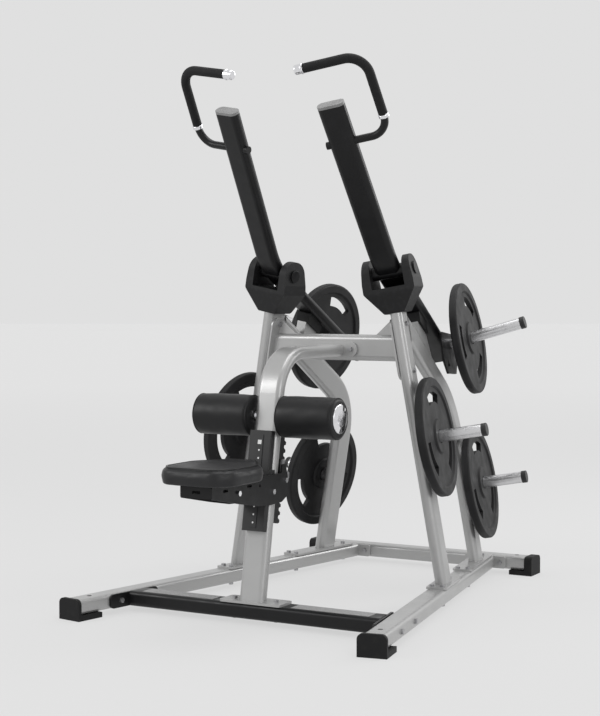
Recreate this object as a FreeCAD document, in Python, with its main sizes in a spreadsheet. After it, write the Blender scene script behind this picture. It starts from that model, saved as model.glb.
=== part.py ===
"""Plate-loaded lat pulldown machine: two splayed side frames, a seat column and two pivoting arms.

Lengths are millimetres.  X points to the right-hand side, Y to the rear and Z up.  The origin is the
middle of the footprint, on the floor.  The machine is symmetric, so each left-hand piece mirrors a
right-hand one.  Most right-hand pieces are drawn in the side frame: "along" runs rearward beside the
rail, "up" follows the leaning uprights and "out" points away from the machine, square to both.
"""
import FreeCAD
import Part
import Sketcher
import math
import os

from FreeCAD import Placement, Vector

DIMENSIONS = {
    "origin_back": 349.5,
    "splay_angle": 10.0,
    "lean_angle": 10.0,
    "side_origin": 543.4,
    "rail_origin": 526.5,
    "wall": 3.5,
    "plate_thick": 8.0,
    "rail_wide": 80.0,
    "rail_high": 55.0,
    "rail_round": 15.0,
    "rail_bottom": 19.0,
    "rail_front": -436.0,
    "rail_long": 1670.0,
    "cap_wall": 14.0,
    "cap_wide": 102.0,
    "cap_high": 78.0,
    "cap_pad": 115.0,
    "cap_round": 20.0,
    "rear_bar_middle": 1240.0,
    "rear_bar_half": 490.0,
    "rear_cap_wall": 33.0,
    "rear_cap_pad": 99.0,
    "rear_flange_wide": 184.0,
    "rear_flange_high": 50.0,
    "front_bar_deep": 100.0,
    "front_bar_middle": -155.0,
    "front_bar_half": 620.0,
    "front_flange_long": 245.0,
    "front_flange_high": 52.0,
    "front_flange_middle": -167.5,
    "anchor_hole": 19.0,
    "anchor_front": -351.0,
    "anchor_rear": 436.0,
    "tube_wide": 100.0,
    "tube_deep": 45.0,
    "tube_round": 20.0,
    "upright_along": 487.0,
    "upright_low": 60.0,
    "upright_top": 1111.0,
    "rear_upright_along": 1030.0,
    "rear_upright_bend": 250.0,
    "brace_slope": 0.649,
    "brace_along": 718.0,
    "brace_up": 928.0,
    "foot_wide": 78.0,
    "front_foot_start": 375.0,
    "front_foot_long": 225.0,
    "rear_foot_start": 790.0,
    "rear_foot_long": 390.0,
    "foot_round": 12.0,
    "crossbar_middle": 453.0,
    "crossbar_up": 961.0,
    "crossbar_half": 300.0,
    "crossbar_flange_wide": 80.0,
    "crossbar_flange_long": 232.0,
    "crossbar_flange_low": 860.0,
    "gusset_long": 76.0,
    "gusset_high": 60.0,
    "column_foot": -172.0,
    "column_tilt": 10.0,
    "column_run_up": 949.0,
    "column_bend": 170.0,
    "column_plate_wide": 250.0,
    "column_plate_deep": 96.0,
    "column_flange_wide": 210.0,
    "column_flange_high": 58.0,
    "guide_wide": 90.0,
    "guide_thick": 27.0,
    "guide_long": 357.0,
    "guide_start": 246.0,
    "strip_wide": 27.0,
    "strip_thick": 2.0,
    "strip_long": 330.0,
    "rack_wide": 76.0,
    "rack_deep": 49.0,
    "rack_tooth": 12.0,
    "rack_pitch": 28.0,
    "rack_teeth": 11.0,
    "rack_start": 280.0,
    "rack_cheek": 6.0,
    "axle_radius": 12.5,
    "axle_hole": 12.55,
    "axle_half": 285.5,
    "spacer_radius": 18.0,
    "spacer_long": 6.5,
    "roller_along": -60.0,
    "roller_up": 729.0,
    "roller_radius": 75.0,
    "roller_start": 57.0,
    "roller_long": 229.0,
    "roller_round": 14.0,
    "disc_radius": 52.0,
    "disc_thick": 8.0,
    "pivot_along": 460.0,
    "pivot_up": 1268.0,
    "pivot_radius": 15.0,
    "pivot_hole": 15.05,
    "pivot_half": 104.0,
    "pivot_head": 24.0,
    "yoke_foot_half": 39.0,
    "yoke_half": 100.0,
    "yoke_top_half": 90.0,
    "yoke_cavity_half": 64.0,
    "yoke_floor": 1208.0,
    "yoke_top": 1322.0,
    "arm_lean": 32.26,
    "arm_top_up": 1856.0,
    "arm_corner_along": 425.0,
    "arm_corner_up": 1287.0,
    "arm_tail_long": 712.0,
    "arm_tail_turn": 26.93,
    "arm_bend": 300.0,
    "arm_cap": 10.0,
    "hub_radius": 26.0,
    "hub_half": 63.4,
    "handle_radius": 14.0,
    "handle_low": 1390.0,
    "handle_plane": 1042.0,
    "handle_stub": -62.0,
    "handle_out": 173.0,
    "handle_high": 1696.0,
    "handle_end": -50.0,
    "handle_low_bend": 65.0,
    "handle_high_bend": 75.0,
    "grip_radius": 17.0,
    "grip_bore": 14.02,
    "grip_start": 1466.0,
    "collar_radius": 20.0,
    "collar_long": 14.0,
    "knob_radius": 18.0,
    "knob_long": 33.0,
    "horn_radius": 23.0,
    "horn_cap_radius": 24.5,
    "horn_cap_long": 8.0,
    "horn_end": 265.0,
    "horn_boss_radius": 30.0,
    "horn_boss_long": 30.0,
    "load_horn_end": 370.0,
    "load_horn_tilt": 6.4,
    "load_horn_collar": 109.0,
    "plate_radius": 225.0,
    "plate_width": 33.0,
    "plate_hole": 25.8,
    "plate_hub": 62.0,
    "plate_rim": 192.0,
    "plate_web": 19.0,
    "plate_window_inner": 132.0,
    "plate_window_outer": 170.0,
    "plate_window_angle": 52.0,
    "bolt_radius": 6.0,
    "bolt_head": 10.0,
    "bolt_head_high": 8.0,
    "seat_low": 530.0,
    "seat_thick": 62.0,
    "carriage_half": 63.0,
    "carriage_thick": 6.0,
    "lever_half": 51.0,
    "lever_thick": 6.0,
    "lever_along": -53.0,
    "lever_up": 502.0,
    "lever_bore": 6.05,
    "lever_rod": 5.0,
}

doc = FreeCAD.newDocument("LatPulldown")
sheet = doc.addObject("Spreadsheet::Sheet", "dims")
for row, (alias, value) in enumerate(DIMENSIONS.items(), start=1):
    sheet.set(f"A{row}", alias)
    sheet.set(f"B{row}", str(value))
    sheet.setAlias(f"B{row}", alias)
doc.recompute()

finished = []


def size(alias):
    """The value of one cell of the sheet."""
    return float(sheet.get(alias))


def drive(item, name, value):
    """Bind a property to an expression over the sheet, or set it to a plain number."""
    if isinstance(value, str):
        item.setExpression(name, value)
    else:
        setattr(item, name, value)


def at(x, y, z):
    """A point given from the front of the machine, moved into the part's own frame."""
    return Vector(x, y - size("origin_back"), z)


def frame_at(origin, x_axis, z_axis):
    """A placement with its X and Z axes along the two directions."""
    y_axis = z_axis.cross(x_axis)
    return Placement(FreeCAD.Matrix(
        x_axis.x, y_axis.x, z_axis.x, origin.x,
        x_axis.y, y_axis.y, z_axis.y, origin.y,
        x_axis.z, y_axis.z, z_axis.z, origin.z,
        0, 0, 0, 1))


X_AXIS = Vector(1, 0, 0)
Y_AXIS = Vector(0, 1, 0)
Z_AXIS = Vector(0, 0, 1)
SPLAY = math.radians(size("splay_angle"))
LEAN = math.radians(size("lean_angle"))
TILT = math.radians(size("column_tilt"))
ARM_LEAN = math.radians(size("arm_lean"))
ALONG = Vector(-math.sin(SPLAY), math.cos(SPLAY), 0)
OUT = Vector(math.cos(LEAN) * math.cos(SPLAY), math.cos(LEAN) * math.sin(SPLAY), math.sin(LEAN))
UP = OUT.cross(ALONG)
LEVEL_OUT = Vector(math.cos(SPLAY), math.sin(SPLAY), 0)
SIDE = frame_at(at(size("side_origin"), 0, 0), ALONG, OUT)
RAIL = frame_at(at(size("rail_origin"), 0, 0), ALONG, LEVEL_OUT)
ELEVATION = frame_at(at(0, 0, 0), Y_AXIS, X_AXIS)
PLAN = frame_at(at(0, 0, 0), X_AXIS, Z_AXIS)
COLUMN_UP = Vector(0, math.sin(TILT), math.cos(TILT))
COLUMN_BACK = Vector(0, math.cos(TILT), -math.sin(TILT))
COLUMN = frame_at(at(0, size("column_foot"), 80), X_AXIS, COLUMN_UP)
ARM_UP = UP * math.cos(ARM_LEAN) - ALONG * math.sin(ARM_LEAN)
ARM_BACK = ALONG * math.cos(ARM_LEAN) + UP * math.sin(ARM_LEAN)
FOOT_TOP = size("rail_bottom") + size("rail_high") + size("plate_thick")
RAIL_TOP = size("rail_bottom") + size("rail_high")
RAIL_MIDDLE = size("rail_bottom") + size("rail_high") / 2
FAR = 900.0


def side_point(along, up, out):
    """A point of the right-hand side frame."""
    return SIDE.multVec(Vector(along, up, out))


def arm_point(reach, depth, out):
    """A point beside the arm: reach runs up the arm and depth is square to it."""
    along = -reach * math.sin(ARM_LEAN) + depth * math.cos(ARM_LEAN)
    up = reach * math.cos(ARM_LEAN) + depth * math.sin(ARM_LEAN)
    return side_point(along, up, out)


def sketch_on(body, plane, offset=0.0):
    """A sketch on one of the body's own origin planes, moved along that plane's normal."""
    sketch = body.newObject("Sketcher::SketchObject", "Sketch")
    feature = next(item for item in body.Origin.OriginFeatures if item.Role == plane)
    sketch.AttachmentSupport = [(feature, "")]
    sketch.MapMode = "FlatFace"
    sketch.AttachmentOffset = Placement(Vector(0, 0, offset), FreeCAD.Rotation())
    return sketch


def rounded_rectangle(sketch, width, height, radius):
    """A centred rectangle with round corners; its sizes are expressions over the sheet."""
    wide = 40.0
    high = 30.0
    turn = 5.0
    corners = ((1, -1, -90), (1, 1, 0), (-1, 1, 90), (-1, -1, 180))
    first = sketch.GeometryCount
    for side_x, side_y, start in corners:
        centre = Vector(side_x * (wide - turn), side_y * (high - turn), 0)
        begin = math.radians(start)
        arc = Part.ArcOfCircle(Part.Circle(centre, Z_AXIS, turn), begin, begin + math.pi / 2)
        ahead = Vector(-math.sin(begin + math.pi / 2), math.cos(begin + math.pi / 2), 0)
        run = 2 * (high if abs(ahead.y) > 0.5 else wide) - 2 * turn
        sketch.addGeometry(arc, False)
        sketch.addGeometry(Part.LineSegment(arc.EndPoint, arc.EndPoint + ahead * run), False)
    for step in range(8):
        following = first + (step + 1) % 8
        sketch.addConstraint(Sketcher.Constraint("Tangent", first + step, 2, following, 1))
    for step in (1, 5):
        sketch.addConstraint(Sketcher.Constraint("Vertical", first + step))
        sketch.addConstraint(Sketcher.Constraint("Horizontal", first + (step + 2) % 8))
    for step in (2, 4, 6):
        sketch.addConstraint(Sketcher.Constraint("Equal", first, first + step))
    driven = (
        (Sketcher.Constraint("Radius", first, turn), radius),
        (Sketcher.Constraint("DistanceX", first + 5, 1, first + 1, 1, 2 * wide), width),
        (Sketcher.Constraint("DistanceY", first + 7, 1, first + 3, 1, 2 * high), height),
        (Sketcher.Constraint("DistanceX", -1, 1, first + 1, 1, wide), f"({width}) / 2"),
        (Sketcher.Constraint("DistanceY", -1, 1, first + 3, 1, high), f"({height}) / 2"))
    for constraint, expression in driven:
        index = sketch.addConstraint(constraint)
        sketch.setExpression(f"Constraints[{index}]", expression)


def draw_path(sketch, points, closed):
    """Straight runs joined by tangent arcs; each point is (x, y) or (x, y, radius)."""
    count = len(points)
    places = [Vector(point[0], point[1], 0) for point in points]
    starts = list(places)
    ends = list(places)
    for index, point in enumerate(points):
        if len(point) < 3 or (not closed and index in (0, count - 1)):
            continue
        back = (places[index - 1] - places[index]).normalize()
        ahead = (places[(index + 1) % count] - places[index]).normalize()
        half = back.getAngle(ahead) / 2
        cut_back = point[2] / math.tan(half)
        ends[index] = places[index] + back * cut_back
        starts[index] = places[index] + ahead * cut_back
        inward = (back + ahead).normalize()
        middle = places[index] + inward * (point[2] / math.sin(half) - point[2])
        sketch.addGeometry(Part.Arc(ends[index], middle, starts[index]), False)
    for index in range(count if closed else count - 1):
        following = ends[(index + 1) % count]
        if starts[index].distanceToPoint(following) > 0.01:
            sketch.addGeometry(Part.LineSegment(starts[index], following), False)


def draw_circles(sketch, circles):
    """Round holes given as (x, y, radius)."""
    for x, y, radius in circles:
        sketch.addGeometry(Part.Circle(Vector(x, y, 0), Z_AXIS, radius), False)


def draw_slot(sketch, x, y, half_long, radius):
    """A slot with round ends, its length along X."""
    points = [(x - half_long, y - radius, radius * 0.99), (x + half_long, y - radius, radius * 0.99),
              (x + half_long, y + radius, radius * 0.99), (x - half_long, y + radius, radius * 0.99)]
    draw_path(sketch, points, True)


def new_body(name, place):
    """An empty body at a placement."""
    body = doc.addObject("PartDesign::Body", name)
    body.Label = name
    body.Placement = place
    return body


def pad(body, sketch, length, midplane=False):
    """Pad a sketch along its normal."""
    feature = body.newObject("PartDesign::Pad", "Pad")
    feature.Profile = sketch
    feature.Midplane = midplane
    drive(feature, "Length", length)
    return feature


def pocket(body, sketch, length):
    """Cut a sketch into the body on both sides of its plane, and check that it removed material."""
    doc.recompute()
    before = body.Shape.Volume
    feature = body.newObject("PartDesign::Pocket", "Pocket")
    feature.Profile = sketch
    feature.Midplane = True
    drive(feature, "Length", length)
    doc.recompute()
    if body.Shape.Volume >= before:
        raise RuntimeError(f"{body.Label}: a pocket removed nothing")
    return feature


def revolve(body, sketch):
    """Turn a profile drawn on the XZ plane all round the Z axis."""
    feature = body.newObject("PartDesign::Revolution", "Revolution")
    feature.Profile = sketch
    feature.ReferenceAxis = (sketch, ["V_Axis"])
    feature.Angle = 360.0
    return feature


def tube(name, place, width, height, radius, length, wall="dims.wall"):
    """A straight flat-sided tube along the placement's Z axis."""
    body = new_body(name, place)
    sketch = sketch_on(body, "XY_Plane")
    rounded_rectangle(sketch, width, height, radius)
    if wall:
        rounded_rectangle(sketch, f"{width} - 2 * {wall}", f"{height} - 2 * {wall}", f"{radius} - {wall}")
    pad(body, sketch, length)
    return body


def bent_tube(name, place, path, width, height, radius):
    """A flat-sided tube swept along a path that leaves the placement's origin along Z."""
    body = new_body(name, place)
    spine = sketch_on(body, "XZ_Plane")
    draw_path(spine, path, False)
    profile = sketch_on(body, "XY_Plane")
    rounded_rectangle(profile, width, height, radius)
    rounded_rectangle(profile, f"{width} - 2 * dims.wall", f"{height} - 2 * dims.wall",
                      f"{radius} - dims.wall")
    pipe = body.newObject("PartDesign::AdditivePipe", "Pipe")
    pipe.Profile = profile
    pipe.Spine = (spine, [f"Edge{index + 1}" for index in range(spine.GeometryCount)])
    return body


def round_pipe(name, place, path, outer, bore=None):
    """A round bar or sleeve swept along a path that leaves the placement's origin along Z."""
    body = new_body(name, place)
    spine = sketch_on(body, "XZ_Plane")
    draw_path(spine, path, False)
    profile = sketch_on(body, "XY_Plane")
    draw_circles(profile, [(0, 0, outer)] + ([(0, 0, bore)] if bore else []))
    pipe = body.newObject("PartDesign::AdditivePipe", "Pipe")
    pipe.Profile = profile
    pipe.Spine = (spine, [f"Edge{index + 1}" for index in range(spine.GeometryCount)])
    return body


def plate(name, place, outline, start, thickness, circles=()):
    """A flat plate: an outline on the placement's XY plane, from a start height."""
    body = new_body(name, place)
    sketch = sketch_on(body, "XY_Plane", start)
    draw_path(sketch, outline, True)
    draw_circles(sketch, circles)
    pad(body, sketch, thickness)
    return body


def turned(name, place, profile):
    """A turned piece: a closed profile of (radius, height) points about the placement's Z axis."""
    body = new_body(name, place)
    sketch = sketch_on(body, "XZ_Plane")
    draw_path(sketch, profile, True)
    revolve(body, sketch)
    return body


def box(name, place, corner, length, width, height):
    """A box whose corner is given in the placement's frame."""
    item = doc.addObject("Part::Box", name)
    drive(item, "Length", length)
    drive(item, "Width", width)
    drive(item, "Height", height)
    item.Placement = place.multiply(Placement(Vector(*corner), FreeCAD.Rotation()))
    return item


def cylinder(name, place, radius, height):
    """A cylinder along the placement's Z axis."""
    item = doc.addObject("Part::Cylinder", name)
    drive(item, "Radius", radius)
    drive(item, "Height", height)
    item.Placement = place
    return item


def shifted(place, x=0.0, y=0.0, z=0.0):
    """The same placement moved along its own axes."""
    return place.multiply(Placement(Vector(x, y, z), FreeCAD.Rotation()))


def group(kind, name, items):
    """A compound or a union of several objects."""
    item = doc.addObject(kind, name)
    item.Label = name
    if kind == "Part::Compound":
        item.Links = items
    else:
        item.Shapes = items
    return item


def cut(name, base, tools):
    """A piece with one or more tools taken away from it."""
    item = doc.addObject("Part::Cut", name)
    item.Base = base
    item.Tool = tools[0] if len(tools) == 1 else group("Part::Compound", name + "_tools", tools)
    return item


def mirrored(name, source):
    """The left-hand copy of a right-hand piece."""
    item = doc.addObject("Part::Mirroring", name)
    item.Source = source
    item.Normal = X_AXIS
    return item


def finish(name, item):
    """Name a sub-part and put it on the list that is written out."""
    item.Label = name
    finished.append(item)
    return item


def both_sides(name, source):
    """Finish a right-hand piece and its mirror image as two sub-parts."""
    finish(f"{name}_right", source)
    finish(f"{name}_left", mirrored(f"{name}_left", source))


def pair(name, source):
    """Finish a right-hand piece and its mirror image as one sub-part."""
    finish(name, group("Part::Compound", name, [source, mirrored(name + "_mirror", source)]))


def rectangle(left, low, right, high, radius):
    """The outline of a rectangle with round corners."""
    return [(left, low, radius), (right, low, radius), (right, high, radius), (left, high, radius)]


# ---- Base -----------------------------------------------------------------------------------------


def make_rails():
    """Two splayed floor rails, trimmed square to the rear bar and drilled for floor anchors."""
    start = RAIL.multVec(Vector(size("rail_front"), RAIL_MIDDLE, 0))
    body = tube("rail_tube", frame_at(start, LEVEL_OUT, ALONG),
                "dims.rail_wide", "dims.rail_high", "dims.rail_round", "dims.rail_long")
    flange_front = size("rear_bar_middle") - size("rail_wide") / 2 - size("plate_thick")
    trim = box("rail_trim", PLAN, (0, flange_front, 0), FAR, FAR, FAR)
    anchor = cylinder("rail_anchor", frame_at(RAIL.multVec(Vector(size("anchor_front"), 0, 0)),
                                              X_AXIS, Z_AXIS), "dims.anchor_hole / 2", 200)
    both_sides("base_rail", cut("rail", body, [trim, anchor]))


def make_rear_bar():
    """The bar across the rear, with its two anchor holes."""
    start = at(-size("rear_bar_half"), size("rear_bar_middle"), RAIL_MIDDLE)
    body = tube("rear_tube", frame_at(start, Y_AXIS, X_AXIS),
                "dims.rail_wide", "dims.rail_high", "dims.rail_round", "2 * dims.rear_bar_half")
    anchors = []
    for end in (-1, 1):
        foot = at(end * size("anchor_rear"), size("rear_bar_middle") + 10, 0)
        anchors.append(cylinder("rear_anchor", frame_at(foot, X_AXIS, Z_AXIS),
                                "dims.anchor_hole / 2", 200))
    finish("base_bar_rear", cut("rear_bar", body, anchors))


def make_front_bar():
    """The wide bar that carries the column, trimmed to the flanges on the rails."""
    start = at(-size("front_bar_half"), size("front_bar_middle"), RAIL_MIDDLE)
    body = tube("front_tube", frame_at(start, Y_AXIS, X_AXIS),
                "dims.front_bar_deep", "dims.rail_high", "dims.rail_round", "2 * dims.front_bar_half")
    inner_face = -size("rail_wide") / 2 - size("plate_thick")
    trim = box("front_trim", RAIL, (-FAR, -FAR, inner_face), 2 * FAR, 2 * FAR, FAR)
    finish("base_bar_front", cut("front_bar", body, [trim, mirrored("front_trim_left", trim)]))


def make_bar_flanges():
    """Bolted end plates: the front bar's on the rails, and the rails' on the rear bar."""
    half_long = size("front_flange_long") / 2
    half_high = size("front_flange_high") / 2
    middle = size("front_flange_middle")
    outline = rectangle(middle - half_long, RAIL_MIDDLE - half_high,
                        middle + half_long, RAIL_MIDDLE + half_high, 18)
    inner_face = -size("rail_wide") / 2 - size("plate_thick")
    pair("front_bar_flanges", plate("front_flange", RAIL, outline, inner_face, "dims.plate_thick"))
    front = size("rear_bar_middle") - size("rail_wide") / 2
    centre = RAIL.multVec(Vector((front - 4) / math.cos(SPLAY), 0, 0)).x
    half_wide = size("rear_flange_wide") / 2
    half_high = size("rear_flange_high") / 2
    outline = rectangle(centre - half_wide, RAIL_MIDDLE - half_high,
                        centre + half_wide, RAIL_MIDDLE + half_high, 10)
    place = frame_at(at(0, front, 0), X_AXIS, -Y_AXIS)
    pair("rear_bar_flanges", plate("rear_flange", place, outline, 0, "dims.plate_thick"))


def make_foot_caps():
    """Rubber feet: a wall over the end of the tube and a pad under it."""
    half = size("cap_wide") / 2
    top = size("cap_high")
    outline = [(-half, 0), (half, 0), (half, top, size("cap_round")), (-half, top, size("cap_round"))]
    pad_outline = [(-half, 0), (half, 0), (half, size("rail_bottom")), (-half, size("rail_bottom"))]
    front = RAIL.multVec(Vector(size("rail_front") - size("cap_wall"), 0, 0))
    place = frame_at(front, LEVEL_OUT, -ALONG)
    wall = plate("front_cap_wall", place, outline, -size("cap_wall"), "dims.cap_wall")
    shoe = plate("front_cap_pad", place, pad_outline, -size("cap_pad"), "dims.cap_pad")
    pair("foot_caps_front", group("Part::MultiFuse", "front_cap", [wall, shoe]))
    end = size("rear_bar_half") + size("rear_cap_wall")
    place = frame_at(at(end, size("rear_bar_middle"), 0), Y_AXIS, X_AXIS)
    wall = plate("rear_cap_wall_piece", place, outline, -size("rear_cap_wall"), "dims.rear_cap_wall")
    shoe = plate("rear_cap_pad_piece", place, pad_outline, -size("rear_cap_pad"), "dims.rear_cap_pad")
    pair("foot_caps_rear", group("Part::MultiFuse", "rear_cap", [wall, shoe]))


def make_foot_plates():
    """Plates on the rails that the uprights are welded to."""
    half = size("foot_wide") / 2
    place = frame_at(RAIL.multVec(Vector(0, RAIL_TOP, 0)), ALONG, Z_AXIS)
    plates = []
    for name in ("front", "rear"):
        start = size(f"{name}_foot_start")
        outline = rectangle(start, -half, start + size(f"{name}_foot_long"), half, size("foot_round"))
        plates.append(plate(f"{name}_foot_plate", place, outline, 0, "dims.plate_thick"))
    pair("foot_plates", group("Part::Compound", "foot_plates_right", plates))


def make_anti_slip_strips():
    """Thin strips on top of the front bar, one on each side of the column."""
    outline = rectangle(160, size("front_bar_middle") - 32, 465, size("front_bar_middle") + 32, 4)
    pair("anti_slip_strips", plate("strip", shifted(PLAN, z=RAIL_TOP), outline, 0, 1.2))


# ---- Side frames ----------------------------------------------------------------------------------


def make_front_uprights():
    """Straight uprights, square to the rail and cut level at the foot plate."""
    start = side_point(size("upright_along"), size("upright_low"), 0)
    body = tube("upright_tube", frame_at(start, ALONG, UP), "dims.tube_wide", "dims.tube_deep",
                "dims.tube_round", "dims.upright_top - dims.upright_low")
    trim = box("upright_trim", PLAN, (0, 0, FOOT_TOP - FAR), FAR, FAR, FAR)
    both_sides("upright_front", cut("upright", body, [trim]))


def brace_height(along):
    """Height of the middle of the sloping brace, at a place along the side frame."""
    return size("brace_up") - size("brace_slope") * (along - size("brace_along"))


def make_rear_uprights():
    """Rear uprights that bend forward into a brace and meet the front ones."""
    low = size("upright_low")
    post = size("rear_upright_along")
    reach = post - size("upright_along") - 10
    corner = brace_height(post) - low
    path = [(0, 0), (0, corner, size("rear_upright_bend")), (reach, brace_height(post - reach) - low)]
    place = frame_at(side_point(post, low, 0), -ALONG, UP)
    body = bent_tube("rear_upright_tube", place, path, "dims.tube_wide", "dims.tube_deep",
                     "dims.tube_round")
    floor_trim = box("rear_floor_trim", PLAN, (0, 0, FOOT_TOP - FAR), FAR, 2 * FAR, FAR)
    front_face = size("upright_along") + size("tube_wide") / 2
    front_trim = box("rear_front_trim", SIDE, (front_face - 200, 900, -100), 200, 500, 200)
    both_sides("upright_rear", cut("rear_upright", body, [floor_trim, front_trim]))


def make_crossbar():
    """The bar between the front uprights, with bolted flanges and gussets."""
    start = at(-size("crossbar_half"), size("crossbar_middle"), size("crossbar_up"))
    body = tube("crossbar_tube", frame_at(start, Z_AXIS, X_AXIS),
                "dims.tube_wide", "dims.tube_deep", "dims.tube_round", "2 * dims.crossbar_half")
    inner_face = -size("tube_deep") / 2 - size("plate_thick")
    trim = box("crossbar_trim", SIDE, (0, 0, inner_face), FAR, 2 * FAR, FAR)
    finish("crossbar", cut("crossbar_piece", body, [trim, mirrored("crossbar_trim_left", trim)]))
    half = size("crossbar_flange_wide") / 2
    low = size("crossbar_flange_low")
    outline = rectangle(size("upright_along") - half, low,
                        size("upright_along") + half, low + size("crossbar_flange_long"), 30)
    flange = plate("crossbar_flange", SIDE, outline, inner_face, "dims.plate_thick")
    top = size("crossbar_up") + size("tube_wide") / 2
    foot = 252.0
    triangle = [(foot - size("gusset_long"), top), (foot, top), (foot - 10, top + size("gusset_high"))]
    place = frame_at(at(0, size("crossbar_middle"), 0), X_AXIS, -Y_AXIS)
    gusset = plate("crossbar_gusset", place, triangle, -4, "dims.plate_thick")
    pair("crossbar_flanges", group("Part::MultiFuse", "crossbar_end", [flange, gusset]))


def make_yokes():
    """Fork heads on the front uprights: two cheeks that hold the arm's pivot."""
    foot = size("yoke_foot_half")
    half = size("yoke_half")
    top = size("yoke_top")
    cavity = size("yoke_cavity_half")
    floor = size("yoke_floor")
    low = size("upright_top")
    right = [(foot, low), (half, low + 84, 12), (half, low + 120, 20), (size("yoke_top_half"), top),
             (cavity, top), (cavity, floor)]
    outline = right + [(-x, y, *rest) for x, y, *rest in reversed(right)]
    front_view = plate("yoke_front", frame_at(side_point(380, 0, 0), OUT, -ALONG),
                       outline, -200, 200)
    pivot = size("pivot_along")
    crown = top - size("pivot_up")
    side_view = plate("yoke_side", SIDE, [
        (432, low, 8), (pivot - crown, low + 80, 40), (pivot - crown, top, crown * 0.98),
        (pivot + crown, top, crown * 0.98), (538, low + 90, 30), (538, low, 8)], -150, 300)
    body = doc.addObject("Part::Common", "yoke_solid")
    body.Base = front_view
    body.Tool = side_view
    bore = cylinder("yoke_bore", shifted(SIDE, pivot, size("pivot_up"), -200), "dims.pivot_hole", 400)
    tail = math.radians(90 - size("arm_lean") - size("arm_tail_turn"))
    tail_axis = ALONG * math.cos(tail) - UP * math.sin(tail)
    relief_place = frame_at(side_point(pivot, size("pivot_up"), 0), tail_axis, OUT)
    relief = box("yoke_relief", relief_place, (0, -28, -cavity), 200, 120, 2 * cavity)
    both_sides("yoke", cut("yoke", body, [bore, relief]))


def make_pivot_shafts():
    """The pins that the arms turn on, with a round head at each end."""
    half = size("pivot_half")
    radius = size("pivot_radius")
    head = size("pivot_head")
    profile = [(0, -half), (head, -half, 2), (head, -half + 8), (radius, -half + 8),
               (radius, half - 8), (head, half - 8), (head, half, 2), (0, half)]
    place = shifted(SIDE, size("pivot_along"), size("pivot_up"), 0)
    pair("pivot_shafts", turned("pivot_shaft", place, profile))


def horn_profile(start, end, boss_low, boss_high, boss_radius):
    """Half section of a horn: a bar with a boss near its foot and a cap at its tip."""
    radius = size("horn_radius")
    cap = size("horn_cap_radius")
    cap_start = end - size("horn_cap_long")
    foot = [(0, start), (boss_radius, start)]
    if boss_low > start:
        foot = [(0, start), (radius, start), (radius, boss_low), (boss_radius, boss_low)]
    return foot + [(boss_radius, boss_high), (radius, boss_high), (radius, cap_start),
                   (cap, cap_start), (cap, end, 3), (0, end)]


def make_storage_horns():
    """Horns for spare plates on the outer faces of the uprights."""
    face = size("tube_deep") / 2
    boss = size("horn_boss_long")
    horns = []
    for name, along, up in (("front", 479, 629), ("rear", 1032, 391)):
        profile = horn_profile(0, size("horn_end") - face, 0, boss, size("horn_boss_radius"))
        horns.append(turned(f"horn_{name}", shifted(SIDE, along, up, face), profile))
    pair("storage_horns", group("Part::Compound", "storage_horns_right", horns))


def tail_height(along):
    """Height of the middle of the arm's tail, at a place along the side frame."""
    tail = math.radians(90 - size("arm_lean") - size("arm_tail_turn"))
    return size("arm_corner_up") - math.tan(tail) * (along - size("arm_corner_along"))


def make_bumpers():
    """Stops on the braces: a steel wedge and the rubber block that the arm rests on."""
    tail = math.radians(90 - size("arm_lean") - size("arm_tail_turn"))
    arm_drop = size("tube_deep") / 2 / math.cos(tail)
    brace = math.atan(size("brace_slope"))
    brace_rise = size("tube_wide") / 2 / math.cos(brace) - 14
    left = 668.0
    right = 752.0
    block_high = 46.0
    bracket = [(left - 10, brace_height(left - 10) + brace_rise),
               (right + 30, brace_height(right + 30) + brace_rise),
               (right + 4, tail_height(right + 4) - arm_drop - block_high),
               (left - 4, tail_height(left - 4) - arm_drop - block_high)]
    block = [(left, tail_height(left) - arm_drop - block_high),
             (right, tail_height(right) - arm_drop - block_high),
             (right, tail_height(right) - arm_drop - 0.5, 6), (left, tail_height(left) - arm_drop - 0.5, 6)]
    pair("bumper_brackets", plate("bumper_bracket", SIDE, bracket, -22, 44))
    pair("bumper_blocks", plate("bumper_block", SIDE, block, -32, 64))


# ---- Column ---------------------------------------------------------------------------------------


def make_column():
    """The leaning column, bent back to the crossbar, with its plates, guide and rack."""
    back = size("crossbar_middle") - size("tube_deep") / 2 - size("plate_thick")
    run_up = size("column_run_up")
    low = 60.0
    rise = (run_up - low) / math.cos(TILT)
    start_y = size("column_foot") + (low - 80) * math.tan(TILT)
    corner_y = size("column_foot") + (run_up - 80) * math.tan(TILT)
    run = back - corner_y
    path = [(0, 0), (0, rise, size("column_bend")),
            (run * math.cos(TILT), rise + run * math.sin(TILT))]
    body = bent_tube("column_tube", frame_at(at(0, start_y, low), COLUMN_BACK, COLUMN_UP), path,
                     "dims.tube_deep", "dims.tube_wide", "dims.tube_round")
    trim = box("column_trim", PLAN, (-200, -400, FOOT_TOP - 100), 400, 400, 100)
    axle = at(-200, size("roller_along"), size("roller_up"))
    hole = cylinder("column_hole", frame_at(axle, Y_AXIS, X_AXIS), "dims.axle_hole", 400)
    finish("column", cut("column_piece", body, [trim, hole]))
    half = size("column_plate_wide") / 2
    half_deep = size("column_plate_deep") / 2
    middle = size("front_bar_middle")
    outline = rectangle(-half, middle - half_deep, half, middle + half_deep, 12)
    finish("column_base_plate", plate("base_plate", shifted(PLAN, z=RAIL_TOP), outline, 0,
                                      "dims.plate_thick"))
    half = size("column_flange_wide") / 2
    half_high = size("column_flange_high") / 2
    middle = run_up + 6
    outline = rectangle(-half, middle - half_high, half, middle + half_high, half_high * 0.95)
    face = back + size("plate_thick")
    place = frame_at(at(0, face, 0), X_AXIS, -Y_AXIS)
    finish("column_flange", plate("flange", place, outline, 0, "dims.plate_thick"))


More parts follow.
